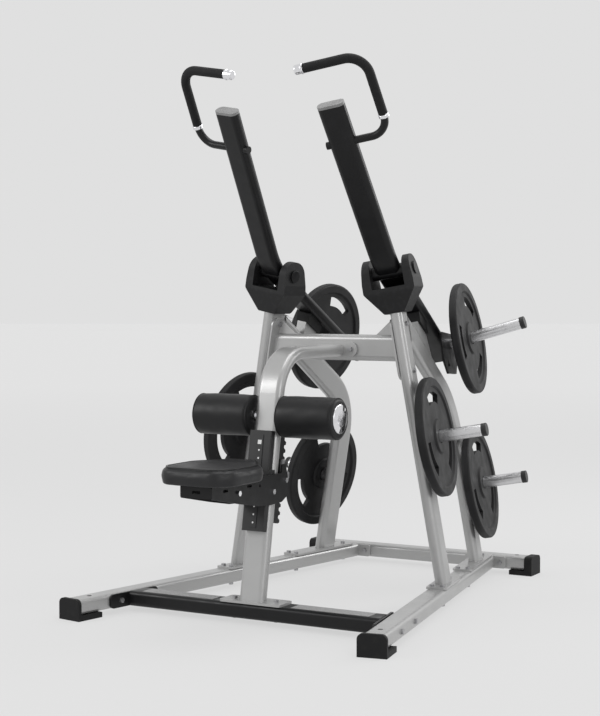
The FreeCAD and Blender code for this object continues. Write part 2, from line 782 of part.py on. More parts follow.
def make_guide():
    """The seat's guide block on the front of the column, with a plain strip of position marks."""
    front = -size("tube_deep") / 2
    start = size("guide_start")
    place = shifted(COLUMN, 0, front - size("guide_thick") / 2, start)
    finish("guide_channel", tube("guide", place, "dims.guide_wide", "dims.guide_thick",
                                 "dims.strip_thick * 2", "dims.guide_long", None))
    strip_front = front - size("guide_thick") - size("strip_thick")
    finish("position_strip", box("position_strip", COLUMN, (
        -size("strip_wide") / 2, strip_front, start + 12),
        "dims.strip_wide", "dims.strip_thick", "dims.strip_long"))


def make_rack():
    """The toothed rack behind the column: two cheeks joined by a web."""
    base = size("tube_deep") / 2
    tip = base + size("rack_deep")
    root = tip - size("rack_tooth")
    pitch = size("rack_pitch")
    start = size("rack_start")
    outline = [(base, start), (root, start)]
    for tooth in range(int(size("rack_teeth"))):
        foot = start + tooth * pitch
        outline += [(tip, foot + 4), (tip, foot + 13), (root, foot + 19), (root, foot + pitch)]
    outline.append((base, outline[-1][1]))
    body = new_body("adjust_rack", frame_at(COLUMN.Base, COLUMN_BACK, COLUMN_UP))
    sketch = sketch_on(body, "XZ_Plane")
    draw_path(sketch, outline, True)
    pad(body, sketch, "dims.rack_wide", True)
    channel = sketch_on(body, "XZ_Plane")
    draw_path(channel, rectangle(base + 5, start - 10, tip + 10, outline[-1][1] + 10, 1), True)
    pocket(body, channel, "dims.rack_wide - 2 * dims.rack_cheek")
    finish("adjust_rack", body)


def make_axle():
    """The axle of the thigh rollers, with a spacer on each side of the column."""
    radius = size("axle_radius")
    spacer = size("spacer_radius")
    inner = size("tube_wide") / 2
    outer = inner + size("spacer_long")
    end = size("axle_half")
    right = [(radius, inner), (spacer, inner), (spacer, outer), (radius, outer), (radius, end), (0, end)]
    profile = [(x, -y) for x, y in reversed(right)] + right
    place = frame_at(at(0, size("roller_along"), size("roller_up")), Y_AXIS, X_AXIS)
    finish("roller_axle", turned("roller_axle", place, profile))


# ---- Thigh rollers --------------------------------------------------------------------------------


def make_rollers():
    """Foam thigh rollers, each with a bright disc on its outer end."""
    radius = size("roller_radius")
    start = size("roller_start")
    end = start + size("roller_long")
    turn = size("roller_round")
    bore = size("axle_hole")
    place = frame_at(at(0, size("roller_along"), size("roller_up")), Y_AXIS, X_AXIS)
    both_sides("roller_foam", turned("roller_foam_right", place, [
        (bore, start), (radius, start, turn), (radius, end, turn), (bore, end)]))
    disc = size("disc_radius")
    thick = size("disc_thick")
    both_sides("roller_disc", turned("roller_disc_right", place, [
        (0, end), (disc, end), (disc, end + thick / 2, 3), (disc * 0.6, end + thick, 30), (0, end + thick)]))


# ---- Arms -----------------------------------------------------------------------------------------


def make_arms():
    """Bent arms with a hub for the pivot, a cap on top and a bracket at the tail."""
    rise = size("arm_top_up") - size("arm_corner_up")
    run = rise / math.cos(ARM_LEAN)
    turn = math.radians(size("arm_tail_turn"))
    tail = size("arm_tail_long")
    path = [(0, 0), (0, run, size("arm_bend")), (tail * math.sin(turn), run + tail * math.cos(turn))]
    top = side_point(size("arm_corner_along") - rise * math.tan(ARM_LEAN), size("arm_top_up"), 0)
    place = frame_at(top, ARM_BACK, -ARM_UP)
    body = bent_tube("arm_sweep", place, path, "dims.tube_deep", "dims.tube_wide", "dims.tube_round")
    pivot = shifted(SIDE, size("pivot_along"), size("pivot_up"), 0)
    hub = cylinder("arm_hub", shifted(pivot, z=-size("hub_half")), "dims.hub_radius", "2 * dims.hub_half")
    whole = group("Part::MultiFuse", "arm_with_hub", [body, hub])
    bore = cylinder("arm_bore", shifted(pivot, z=-200), "dims.pivot_hole", 400)
    both_sides("arm_tube", cut("arm", whole, [bore]))
    cap = tube("arm_cap_piece", frame_at(top, ARM_BACK, ARM_UP), "dims.tube_deep", "dims.tube_wide",
               "dims.tube_round", "dims.arm_cap", None)
    both_sides("arm_end_cap", cap)


def make_tail_brackets():
    """Plates on the outer side of the tails that carry the load horns."""
    outline = [(856, 1022, 12), (1046, 1004, 16), (1046, 894, 12), (996, 844, 6), (868, 852, 6),
               (830, 912, 12)]
    body = plate("tail_bracket_right", SIDE, outline, size("tube_wide") / 2, "dims.plate_thick")
    window = sketch_on(body, "XY_Plane", size("tube_wide") / 2)
    draw_path(window, [(880, 880, 3), (912, 880, 3), (900, 908, 3)], True)
    pocket(body, window, "4 * dims.plate_thick")
    both_sides("tail_bracket", body)


def make_load_horns():
    """Horns at the tails, tilted up a little more than the plates' own axis."""
    tilt = math.radians(size("load_horn_tilt"))
    axis = OUT * math.cos(tilt) + UP * math.sin(tilt)
    face = size("tube_wide") / 2 + size("plate_thick")
    plate_middle = 114 + size("plate_width") / 2
    foot_up = 978 - (plate_middle - face) * math.tan(tilt)
    start = -1.5
    end = (size("load_horn_end") - face) / math.cos(tilt)
    collar = (size("load_horn_collar") - face) / math.cos(tilt)
    profile = horn_profile(start, end, collar - 10, collar, 32)
    place = frame_at(side_point(994, foot_up, face), ALONG, axis)
    both_sides("load_horn", turned("load_horn_right", place, profile))


def make_handles():
    """Round handle bars through the arms, with grip sleeves, collars and end knobs."""
    stub = size("handle_stub")
    low = size("handle_low")
    depth = size("handle_plane")
    out = size("handle_out")
    place = frame_at(arm_point(low, depth, stub), ARM_UP, OUT)
    rise = size("handle_high") - low
    path = [(0, 0), (0, out - stub, size("handle_low_bend")),
            (rise, out - stub, size("handle_high_bend")), (rise, size("handle_end") - stub)]
    both_sides("handle_bar", round_pipe("handle_bar_right", place, path, size("handle_radius")))
    grip_start = arm_point(size("grip_start"), depth, out)
    rise = size("handle_high") - size("grip_start")
    path = [(0, 0), (0, rise, size("handle_high_bend")), (out - size("handle_end"), rise)]
    both_sides("grip", round_pipe("grip_right", frame_at(grip_start, -OUT, ARM_UP), path,
                                  size("grip_radius"), size("grip_bore")))
    collar = size("collar_radius")
    long = size("collar_long")
    ring = turned("collar_ring", frame_at(grip_start, -OUT, ARM_UP), [
        (size("grip_bore"), -long), (collar, -long, 3), (collar, 0, 3), (size("grip_bore"), 0)])
    knob_place = frame_at(arm_point(size("handle_high"), depth, size("handle_end")), ARM_UP, -OUT)
    knob = size("knob_radius")
    end = turned("end_knob", knob_place, [(0, 0), (knob + 2, 0, 2), (knob + 2, 8, 2), (knob, 9),
                                          (knob, size("knob_long"), 6), (0, size("knob_long"))])
    both_sides("grip_trim", group("Part::Compound", "grip_trim_right", [ring, end]))


# ---- Weight plates --------------------------------------------------------------------------------


def weight_plate(name, along, up, out, window):
    """A disc with a thick rim and hub, a thinner web and three grip windows; window turns them."""
    radius = size("plate_radius")
    width = size("plate_width")
    hole = size("plate_hole")
    hub = size("plate_hub")
    rim = size("plate_rim")
    dish = (width - size("plate_web")) / 2
    body = turned(name, shifted(SIDE, along, up, out), [
        (hole, 0), (hub, 0, 3), (hub + 6, dish), (rim - 6, dish), (rim, 0, 3), (radius, 0, 8),
        (radius, width, 8), (rim, width, 3), (rim - 6, width - dish), (hub + 6, width - dish),
        (hub, width, 3), (hole, width)])
    sketch = sketch_on(body, "XY_Plane", width / 2)
    inner = size("plate_window_inner")
    outer = size("plate_window_outer")
    half = math.radians(size("plate_window_angle") / 2)
    for turn in range(3):
        middle = math.radians(window + 120 * turn)
        for ring in (inner, outer):
            circle = Part.Circle(Vector(0, 0, 0), Z_AXIS, ring)
            sketch.addGeometry(Part.ArcOfCircle(circle, middle - half, middle + half), False)
        for edge in (middle - half, middle + half):
            spoke = Vector(math.cos(edge), math.sin(edge), 0)
            sketch.addGeometry(Part.LineSegment(spoke * inner, spoke * outer), False)
    pocket(body, sketch, 2 * width)
    return body


def make_weight_plates():
    """One plate on every horn."""
    both_sides("plate_loaded", weight_plate("plate_loaded_right", 994, 978, 114, 65))
    both_sides("plate_front", weight_plate("plate_front_right", 479, 629, 53, 90))
    both_sides("plate_rear", weight_plate("plate_rear_right", 1032, 391, 55, 90))


# ---- Seat -----------------------------------------------------------------------------------------


def make_seat():
    """The seat cushion, level and tapered towards the column."""
    right = [(104, -592, 50), (150, -535, 60), (150, -340, 70), (60, -215, 20)]
    outline = right + [(-x, y, radius) for x, y, radius in reversed(right)]
    body = plate("seat_pad", shifted(PLAN, z=size("seat_low")), outline, 0, "dims.seat_thick")
    finish("seat_pad", body)


def make_carriage():
    """Side plates, front bracket, slide shoes and bolts that carry the seat on the column."""
    outline = [(-540, 486, 8), (-358, 450, 60), (-238, 429, 60), (-156, 424, 60), (-78, 426, 20),
               (-35, 446, 10), (-35, 518, 8), (-49, 560, 8), (-72, 560, 8), (-78, 529.9, 4),
               (-540, 529.9, 8)]
    inner = size("carriage_half") - size("carriage_thick")
    body = plate("carriage_plate", ELEVATION, outline, inner, "dims.carriage_thick",
                 [(-230, 500, 6), (-53, 502, 6.05)])
    sketch = sketch_on(body, "XY_Plane", inner)
    for along in (-455, -300):
        draw_slot(sketch, along, 506, 16, 5)
    pocket(body, sketch, "4 * dims.carriage_thick")
    pair("carriage_plates", body)
    tray = box("bracket_tray", PLAN, (-inner, -540, size("seat_low") - 8), 2 * inner, 310, 8)
    face = box("bracket_face", PLAN, (-inner, -540, 486), 2 * inner, 8, 44)
    slot = box("bracket_slot", PLAN, (-16, -545, 502), 32, 18, 10)
    whole = group("Part::MultiFuse", "bracket_whole", [tray, face])
    finish("carriage_bracket", cut("bracket", whole, [slot]))
    guide_half = size("guide_wide") / 2
    front = -size("tube_deep") / 2 - size("guide_thick")
    shoes = []
    for start in (356, 400, 446):
        shoes.append(box("slide_shoe", COLUMN, (guide_half + 0.5, front + 1, start), 11.4, 24, 20))
    pair("slide_shoes", group("Part::Compound", "shoes_right", shoes))


def bolt(place, length, inner_end=False):
    """A bolt along the placement's Z axis: head below the origin, shank, and a nut if wanted."""
    high = size("bolt_head_high")
    head = doc.addObject("Part::Prism", "bolt_head")
    head.Polygon = 6
    drive(head, "Circumradius", "dims.bolt_head")
    drive(head, "Height", "dims.bolt_head_high")
    head.Placement = shifted(place, z=-high)
    shank = cylinder("bolt_shank", place, "dims.bolt_radius", length)
    items = [head, shank]
    if not inner_end:
        nut = doc.addObject("Part::Prism", "bolt_nut")
        nut.Polygon = 6
        drive(nut, "Circumradius", "dims.bolt_head")
        drive(nut, "Height", "dims.bolt_head_high")
        nut.Placement = shifted(place, z=length)
        items.append(nut)
    return group("Part::MultiFuse", "bolt", items)


def make_carriage_bolts():
    """Bolts through the side plates; the rear pair are the lever's pivots."""
    inner = size("carriage_half")
    bolts = []
    for along, up, length in ((-374, 489, 18), (-142, 470, 6), (-53, 502, 22)):
        place = frame_at(at(inner, along, up), Y_AXIS, -X_AXIS)
        bolts.append(bolt(place, length, True))
    pair("carriage_bolts", group("Part::Compound", "carriage_bolts_right", bolts))


def make_lever():
    """The height lever: two arms beside the rack joined by a rod behind it."""
    inner = size("lever_half") - size("lever_thick")
    outline = [(-67, 496, 6), (-40, 488, 6), (-3, 503, 8), (-3, 526, 8), (-34, 532, 10),
               (-34, 576, 8), (-54, 576, 8), (-62, 530, 10)]
    arm = plate("lever_arm", ELEVATION, outline, inner, "dims.lever_thick",
                [(size("lever_along"), size("lever_up"), size("lever_bore"))])
    place = frame_at(at(-inner - 1, -12, 515), Y_AXIS, X_AXIS)
    rod = cylinder("lever_cross_rod", place, "dims.lever_rod", 2 * inner + 2)
    finish("seat_lever", group("Part::MultiFuse", "lever", [arm, mirrored("lever_arm_left", arm), rod]))


# ---- Fasteners ------------------------------------------------------------------------------------


def make_frame_fasteners():
    """Every bolt of the fixed frame; each goes right through the tubes that it clamps."""
    bolts = []
    thick = size("plate_thick")
    rail_half = size("rail_wide") / 2
    for along in (-237, -64):
        head = RAIL.multVec(Vector(along, RAIL_MIDDLE, rail_half))
        bolts.append(bolt(frame_at(head, ALONG, -LEVEL_OUT), 2 * rail_half + thick))
    front = size("rear_bar_middle") - rail_half - thick
    centre = RAIL.multVec(Vector((front + 4) / math.cos(SPLAY), 0, 0)).x
    for sideways in (-66, 66):
        head = at(centre + sideways, front, RAIL_MIDDLE)
        bolts.append(bolt(frame_at(head, X_AXIS, Y_AXIS), 2 * rail_half + thick))
    for along, sideways in ((398, -20), (398, 20), (578, 0), (806, -20), (806, 20), (1150, 0)):
        head = RAIL.multVec(Vector(along, FOOT_TOP, sideways))
        bolts.append(bolt(frame_at(head, X_AXIS, -Z_AXIS), size("rail_high") + thick))
    head = at(85, size("front_bar_middle"), FOOT_TOP)
    bolts.append(bolt(frame_at(head, X_AXIS, -Z_AXIS), size("rail_high") + thick))
    face = size("tube_deep") / 2
    for up in (888, 1067):
        head = side_point(size("upright_along"), up, face)
        bolts.append(bolt(frame_at(head, ALONG, -OUT), size("tube_deep") + thick))
    head = at(78, size("crossbar_middle") - face - thick, size("column_run_up") + 6)
    bolts.append(bolt(frame_at(head, X_AXIS, Y_AXIS), size("tube_deep") + thick))
    pair("frame_fasteners", group("Part::Compound", "fasteners_right", bolts))


def check_and_write():
    """Stop on any failed object, then write each sub-part to its own file."""
    doc.recompute()
    failed = [item.Label for item in doc.Objects if {"Invalid", "Error"} & set(item.State)]
    if failed:
        raise RuntimeError(f"failed objects: {failed}")
    os.makedirs("parts", exist_ok=True)
    whole = FreeCAD.BoundBox()
    for item in finished:
        shape = item.Shape
        if shape.isNull() or not shape.isValid() or not shape.Solids:
            raise RuntimeError(f"{item.Label}: the shape is empty or not valid")
        whole.add(shape.BoundBox)
        shape.exportStep(f"parts/{item.Label}.step")
    print(f"{len(finished)} sub-parts, X {whole.XMin:.1f} to {whole.XMax:.1f}, "
          f"Y {whole.YMin:.1f} to {whole.YMax:.1f}, Z {whole.ZMin:.1f} to {whole.ZMax:.1f}")


make_rails()
make_rear_bar()
make_front_bar()
make_bar_flanges()
make_foot_caps()
make_foot_plates()
make_anti_slip_strips()
make_front_uprights()
make_rear_uprights()
make_crossbar()
make_yokes()
make_pivot_shafts()
make_storage_horns()
make_bumpers()
make_column()
make_guide()
make_rack()
make_axle()
make_rollers()
make_arms()
make_tail_brackets()
make_load_horns()
make_handles()
make_weight_plates()
make_seat()
make_carriage()
make_carriage_bolts()
make_lever()
make_frame_fasteners()
check_and_write()
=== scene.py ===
"""Looks for the plate-loaded lat pulldown machine: materials, upholstery, marks, studio and camera."""
import bmesh
import bpy
import math
from mathutils import Matrix, Vector


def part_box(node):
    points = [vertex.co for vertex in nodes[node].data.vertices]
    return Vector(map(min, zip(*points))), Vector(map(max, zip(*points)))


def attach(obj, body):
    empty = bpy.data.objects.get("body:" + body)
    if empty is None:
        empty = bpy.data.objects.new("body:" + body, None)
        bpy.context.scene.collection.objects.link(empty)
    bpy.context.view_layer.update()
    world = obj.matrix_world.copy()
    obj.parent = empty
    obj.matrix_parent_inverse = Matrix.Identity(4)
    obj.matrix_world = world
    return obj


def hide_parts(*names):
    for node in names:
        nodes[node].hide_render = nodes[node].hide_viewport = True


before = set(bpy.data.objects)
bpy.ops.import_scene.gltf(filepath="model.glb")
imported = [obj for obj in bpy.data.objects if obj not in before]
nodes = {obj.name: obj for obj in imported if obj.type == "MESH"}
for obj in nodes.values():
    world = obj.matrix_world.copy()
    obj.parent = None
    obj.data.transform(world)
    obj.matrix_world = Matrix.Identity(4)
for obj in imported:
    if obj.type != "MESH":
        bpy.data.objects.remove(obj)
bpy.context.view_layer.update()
SIDES = ("right", "left")
COLUMN_LEAN = math.radians(10)
SIDE_LEAN = math.radians(10)
SPLAY = math.radians(10)
LOAD_HORN_TILT = math.radians(6.4)


# ---- Materials ------------------------------------------------------------------------------------


class Shader:
    """A node material with a Principled shader, and short helpers for the nodes that feed it."""

    def __init__(self, name, base, roughness, metallic=0.0, coat=0.0, specular=0.5):
        self.material = bpy.data.materials.new(name)
        self.material.use_nodes = True
        self.tree = self.material.node_tree
        self.shader = self.tree.nodes["Principled BSDF"]
        self.shader.inputs["Base Color"].default_value = (*base, 1)
        self.shader.inputs["Roughness"].default_value = roughness
        self.shader.inputs["Metallic"].default_value = metallic
        self.shader.inputs["Coat Weight"].default_value = coat
        self.shader.inputs["Specular IOR Level"].default_value = specular
        self.base = base
        self.place = self.tree.nodes.new("ShaderNodeTexCoord").outputs["Object"]
        self.height = None

    def link(self, source, target):
        """Join an output to an input."""
        self.tree.links.new(source, target)

    def stretched(self, scale):
        """Object coordinates scaled by a different factor along each axis."""
        mapping = self.tree.nodes.new("ShaderNodeMapping")
        mapping.inputs["Scale"].default_value = scale
        self.link(self.place, mapping.inputs["Vector"])
        return mapping.outputs["Vector"]

    def noise(self, scale, detail, vector=None):
        """Soft random noise over the object, or over other coordinates."""
        node = self.tree.nodes.new("ShaderNodeTexNoise")
        node.inputs["Scale"].default_value = scale
        node.inputs["Detail"].default_value = detail
        self.link(vector or self.place, node.inputs["Vector"])
        return node.outputs["Fac"]

    def cells(self, scale, feature="F1"):
        """The distances of a cell pattern."""
        node = self.tree.nodes.new("ShaderNodeTexVoronoi")
        node.feature = feature
        node.inputs["Scale"].default_value = scale
        self.link(self.place, node.inputs["Vector"])
        return node.outputs["Distance"]

    def ranged(self, source, low, high, to_low, to_high):
        """Map a value from one range to another."""
        node = self.tree.nodes.new("ShaderNodeMapRange")
        node.inputs["From Min"].default_value = low
        node.inputs["From Max"].default_value = high
        node.inputs["To Min"].default_value = to_low
        node.inputs["To Max"].default_value = to_high
        self.link(source, node.inputs["Value"])
        return node.outputs["Result"]

    def vary_colour(self, source, low, high, other):
        """Blend the base colour towards another where the source is high."""
        mix = self.tree.nodes.new("ShaderNodeMix")
        mix.data_type = "RGBA"
        mix.inputs["A"].default_value = (*self.base, 1)
        mix.inputs["B"].default_value = (*other, 1)
        self.link(self.ranged(source, low, high, 0.0, 1.0), mix.inputs["Factor"])
        self.link(mix.outputs["Result"], self.shader.inputs["Base Color"])

    def vary_roughness(self, source, low, high, to_low, to_high):
        """Let the roughness follow a source."""
        self.link(self.ranged(source, low, high, to_low, to_high), self.shader.inputs["Roughness"])

    def bump(self, source, strength, depth):
        """Add a bump from a height source; a second call stacks on the first."""
        node = self.tree.nodes.new("ShaderNodeBump")
        node.inputs["Strength"].default_value = strength
        node.inputs["Distance"].default_value = depth
        self.link(source, node.inputs["Height"])
        if self.height is not None:
            self.link(self.height, node.inputs["Normal"])
        self.height = node.outputs["Normal"]
        self.link(self.height, self.shader.inputs["Normal"])


def silver_powder_coat():
    paint = Shader("silver_powder_coat", (0.36, 0.36, 0.358), 0.36, metallic=0.5, coat=0.12)
    paint.vary_colour(paint.noise(2200, 2), 0.45, 0.62, (0.46, 0.46, 0.458))
    paint.vary_roughness(paint.noise(9, 5), 0.3, 0.7, 0.28, 0.40)
    paint.bump(paint.noise(1500, 3), 0.10, 0.0002)
    return paint.material


def black_powder_coat():
    paint = Shader("black_powder_coat", (0.0045, 0.0045, 0.005), 0.38, specular=0.28)
    paint.vary_colour(paint.noise(14, 6), 0.52, 0.8, (0.008, 0.008, 0.009))
    paint.vary_roughness(paint.noise(22, 6), 0.3, 0.7, 0.28, 0.46)
    paint.bump(paint.noise(1300, 3), 0.14, 0.0002)
    return paint.material


def textured_casting():
    paint = Shader("textured_black_casting", (0.007, 0.007, 0.0075), 0.55, specular=0.3)
    paint.vary_colour(paint.noise(60, 6), 0.5, 0.75, (0.013, 0.013, 0.014))
    paint.bump(paint.noise(420, 4), 0.35, 0.0006)
    return paint.material


def chrome():
    metal = Shader("chrome", (0.82, 0.82, 0.84), 0.09, metallic=1.0)
    metal.vary_roughness(metal.noise(45, 6), 0.35, 0.75, 0.06, 0.16)
    metal.bump(metal.noise(160, 4), 0.02, 0.0001)
    return metal.material


def brushed_horn():
    metal = Shader("brushed_horn", (0.70, 0.70, 0.71), 0.27, metallic=1.0)
    grain = metal.noise(30, 6, metal.stretched((1.5, 60, 60)))
    metal.vary_roughness(grain, 0.3, 0.7, 0.20, 0.36)
    metal.vary_colour(metal.noise(55, 6), 0.5, 0.8, (0.60, 0.60, 0.61))
    metal.bump(grain, 0.05, 0.0002)
    return metal.material


def zinc():
    metal = Shader("zinc_plate", (0.42, 0.42, 0.43), 0.33, metallic=0.9)
    metal.vary_colour(metal.noise(90, 5), 0.45, 0.7, (0.30, 0.30, 0.31))
    metal.bump(metal.noise(700, 3), 0.08, 0.0002)
    return metal.material


def foot_rubber():
    rubber = Shader("foot_rubber", (0.006, 0.006, 0.0065), 0.62, specular=0.25)
    rubber.vary_colour(rubber.noise(35, 6), 0.5, 0.8, (0.013, 0.013, 0.012))
    rubber.bump(rubber.noise(500, 4), 0.25, 0.0005)
    return rubber.material


def plate_rubber():
    rubber = Shader("plate_rubber", (0.0075, 0.0075, 0.008), 0.50, specular=0.26)
    rubber.vary_colour(rubber.noise(11, 7), 0.45, 0.8, (0.014, 0.014, 0.015))
    rubber.vary_roughness(rubber.noise(18, 6), 0.3, 0.7, 0.44, 0.62)
    rubber.bump(rubber.noise(650, 4), 0.22, 0.0005)
    return rubber.material


def grip_rubber():
    rubber = Shader("grip_rubber", (0.006, 0.006, 0.0065), 0.66, specular=0.25)
    rubber.vary_colour(rubber.noise(60, 5), 0.5, 0.8, (0.012, 0.012, 0.0125))
    rubber.bump(rubber.cells(330), 0.55, 0.0010)
    return rubber.material


def vinyl(name, base, worn):
    """Upholstery vinyl with a leather grain and slightly shinier worn patches."""
    skin = Shader(name, base, 0.46, specular=0.3)
    skin.vary_colour(skin.noise(7, 6), 0.45, 0.75, worn)
    skin.vary_roughness(skin.noise(16, 6), 0.3, 0.7, 0.36, 0.54)
    skin.bump(skin.cells(420, "DISTANCE_TO_EDGE"), 0.20, 0.0005)
    skin.bump(skin.noise(28, 5), 0.10, 0.0015)
    return skin.material


def plastic(name, base, other):
    shell = Shader(name, base, 0.45)
    shell.vary_colour(shell.noise(25, 5), 0.45, 0.75, other)
    shell.bump(shell.noise(900, 3), 0.12, 0.0002)
    return shell.material


def anti_slip():
    strip = Shader("anti_slip", (0.36, 0.36, 0.36), 0.75)
    strip.vary_colour(strip.noise(1500, 2), 0.4, 0.6, (0.20, 0.20, 0.20))
    strip.bump(strip.noise(900, 3), 0.8, 0.001)
    return strip.material


def studio_grey():
    """A matte floor that glows a little more with distance, so that it meets the surroundings' tone."""
    near = 1.5
    far = 14.0
    near_glow = 0.592
    far_glow = 0.648
    floor = Shader("studio_floor", (0.13, 0.13, 0.13), 0.9, specular=0.05)
    floor.shader.inputs["Emission Color"].default_value = (1, 1, 1, 1)
    distance = floor.tree.nodes.new("ShaderNodeVectorMath")
    distance.operation = "LENGTH"
    floor.link(floor.place, distance.inputs[0])
    glow = floor.ranged(distance.outputs["Value"], near, far, near_glow, far_glow)
    floor.link(glow, floor.shader.inputs["Emission Strength"])
    floor.bump(floor.noise(40, 3), 0.02, 0.001)
    return floor.material


SILVER = silver_powder_coat()
BLACK = black_powder_coat()
CASTING = textured_casting()
CHROME = chrome()
HORN = brushed_horn()
ZINC = zinc()
FEET = foot_rubber()
PLATES = plate_rubber()
GRIP = grip_rubber()
FOAM = vinyl("roller_vinyl", (0.005, 0.005, 0.0055), (0.009, 0.009, 0.0095))
SEAT = vinyl("seat_vinyl", (0.012, 0.012, 0.013), (0.020, 0.020, 0.021))
WELT = vinyl("welt_vinyl", (0.004, 0.004, 0.0045), (0.007, 0.007, 0.007))
BLACK_PLASTIC = plastic("black_plastic", (0.006, 0.006, 0.0065), (0.012, 0.012, 0.0125))
GREY_PLASTIC = plastic("grey_plastic", (0.20, 0.20, 0.20), (0.16, 0.16, 0.16))
WHITE_PRINT = plastic("white_print", (0.72, 0.72, 0.72), (0.60, 0.60, 0.60))
STRIP = anti_slip()

NODE_MATERIALS = (
    (("base_bar_front", "front_bar_flanges", "arm_tube", "tail_bracket", "handle_bar"), BLACK),
    (("carriage_plates", "carriage_bracket", "pivot_shafts", "adjust_rack"), BLACK),
    (("yoke",), CASTING),
    (("storage_horns", "load_horn"), HORN),
    (("roller_disc", "grip_trim", "roller_axle", "carriage_bolts"), CHROME),
    (("frame_fasteners", "seat_lever"), ZINC),
    (("foot_caps", "bumper_blocks"), FEET),
    (("plate_loaded", "plate_front", "plate_rear"), PLATES),
    (("grip_right", "grip_left"), GRIP),
    (("guide_channel", "slide_shoes", "position_strip"), BLACK_PLASTIC),
    (("arm_end_cap",), GREY_PLASTIC),
    (("anti_slip_strips",), STRIP),
)


def material_of(name):
    """The material of a CAD node: the first group whose names it starts with, or silver paint."""
    for starts, material in NODE_MATERIALS:
        if name.startswith(starts):
            return material
    return SILVER


def paint(item, *materials):
    """Give an object its materials in slot order."""
    item.data.materials.clear()
    for material in materials:
        item.data.materials.append(material)


for node_name, node in nodes.items():
    paint(node, material_of(node_name))


# ---- Mesh helpers ---------------------------------------------------------------------------------


def new_object(name, mesh, body, material):
    """Link a mesh as a piece that rides on a body."""
    item = bpy.data.objects.new(name, mesh)
    bpy.context.scene.collection.objects.link(item)
    paint(item, material)
    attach(item, body)
    return item


def smooth(mesh):
    """Shade every face of a mesh smooth."""
    for polygon in mesh.polygons:
        polygon.use_smooth = True


def to_mesh(name, shape):
    """Turn a finished bmesh into a mesh and free it."""
    mesh = bpy.data.meshes.new(name)
    shape.to_mesh(mesh)
    shape.free()
    return mesh


def loop_mesh(name, loops, capped=True):
    """A skin over a stack of loops that all have the same number of points."""
    shape = bmesh.new()
    rings = [[shape.verts.new(point) for point in loop] for loop in loops]
    count = len(rings[0])
    for low, high in zip(rings, rings[1:]):
        for index in range(count):
            after = (index + 1) % count
            shape.faces.new((low[index], low[after], high[after], high[index]))
    if capped:
        shape.faces.new(list(reversed(rings[0])))
        shape.faces.new(rings[-1])
    bmesh.ops.recalc_face_normals(shape, faces=shape.faces)
    return to_mesh(name, shape)


def apply_modifiers(item):
    """Replace an object's mesh by its evaluated one."""
    bpy.context.view_layer.update()
    evaluated = item.evaluated_get(bpy.context.evaluated_depsgraph_get())
    mesh = bpy.data.meshes.new_from_object(evaluated)
    item.modifiers.clear()
    item.data = mesh


def bead(name, points, radius, body, material):
    """A round bead that follows a closed loop of points."""
    curve = bpy.data.curves.new(name, "CURVE")
    curve.dimensions = "3D"
    curve.bevel_depth = radius
    curve.bevel_resolution = 3
    spline = curve.splines.new("POLY")
    spline.points.add(len(points) - 1)
    for target, point in zip(spline.points, points):
        target.co = (*point, 1)
    spline.use_cyclic_u = True
    carrier = bpy.data.objects.new(name + "_curve", curve)
    bpy.context.scene.collection.objects.link(carrier)
    bpy.context.view_layer.update()
    mesh = bpy.data.meshes.new_from_object(carrier)
    bpy.data.objects.remove(carrier)
    smooth(mesh)
    new_object(name, mesh, body, material)


# ---- Seat cushion ---------------------------------------------------------------------------------

SEAT_LOW, SEAT_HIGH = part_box("seat_pad")
SEAT_INSET = 0.006
CHAMFER = 0.014
CORNER_POINTS = 10
CORNER_REACH = 0.055
VOXEL = 0.0045
PRESSURE = 4.0
SWELL_LIMIT = 0.0015
SWELL_FRAMES = 12
SEAM_RADIUS = 0.0012


def seat_corners(inset):
    """The plan's corners as (x, y, radius): a broad front and a narrow back, moved inwards."""
    front = SEAT_LOW.y + inset
    back = SEAT_HIGH.y - inset
    half = SEAT_HIGH.x - inset
    right = ((0.104 - inset * 0.4, front, 0.050), (half, front + 0.057, 0.060),
             (half, back - 0.125, 0.070), (0.060 - inset * 0.6, back, 0.020))
    return right + tuple((-x, y, radius) for x, y, radius in reversed(right))


def seat_outline(inset, height):
    """The seat's plan outline with rounded corners, moved inwards and set at a height."""
    corners = seat_corners(inset)
    outline = []
    for index, (x, y, radius) in enumerate(corners):
        here = Vector((x, y, 0))
        back_way = (Vector((*corners[index - 1][:2], 0)) - here).normalized()
        ahead = (Vector((*corners[(index + 1) % len(corners)][:2], 0)) - here).normalized()
        half_angle = back_way.angle(ahead) / 2
        reach = min(radius / math.tan(half_angle), CORNER_REACH)
        for step in range(CORNER_POINTS):
            part = step / (CORNER_POINTS - 1)
            start = here + back_way * reach
            end = here + ahead * reach
            spot = start.lerp(here, part).lerp(here.lerp(end, part), part)
            outline.append(Vector((spot.x, spot.y, height)))
    return outline


def swell(item):
    """Blow the cushion up a little with a cloth simulation, and cap how far each point moves."""
    remesh = item.modifiers.new("Remesh", "REMESH")
    remesh.mode = "VOXEL"
    remesh.voxel_size = VOXEL
    apply_modifiers(item)
    rest = [vertex.co.copy() for vertex in item.data.vertices]
    cloth = item.modifiers.new("Cloth", "CLOTH")
    cloth.settings.use_pressure = True
    cloth.settings.uniform_pressure_force = PRESSURE
    cloth.settings.effector_weights.gravity = 0
    scene = bpy.context.scene
    for moment in range(1, SWELL_FRAMES + 1):
        scene.frame_set(moment)
    apply_modifiers(item)
    scene.frame_set(1)
    for vertex, start in zip(item.data.vertices, rest):
        move = vertex.co - start
        if move.length > SWELL_LIMIT:
            vertex.co = start + move.normalized() * SWELL_LIMIT
        vertex.co.z = max(vertex.co.z, SEAT_LOW.z)


def relax(item):
    """Smooth the swollen skin lightly."""
    smoothing = item.modifiers.new("Smooth", "CORRECTIVE_SMOOTH")
    smoothing.iterations = 1
    smoothing.use_only_smooth = True
    apply_modifiers(item)


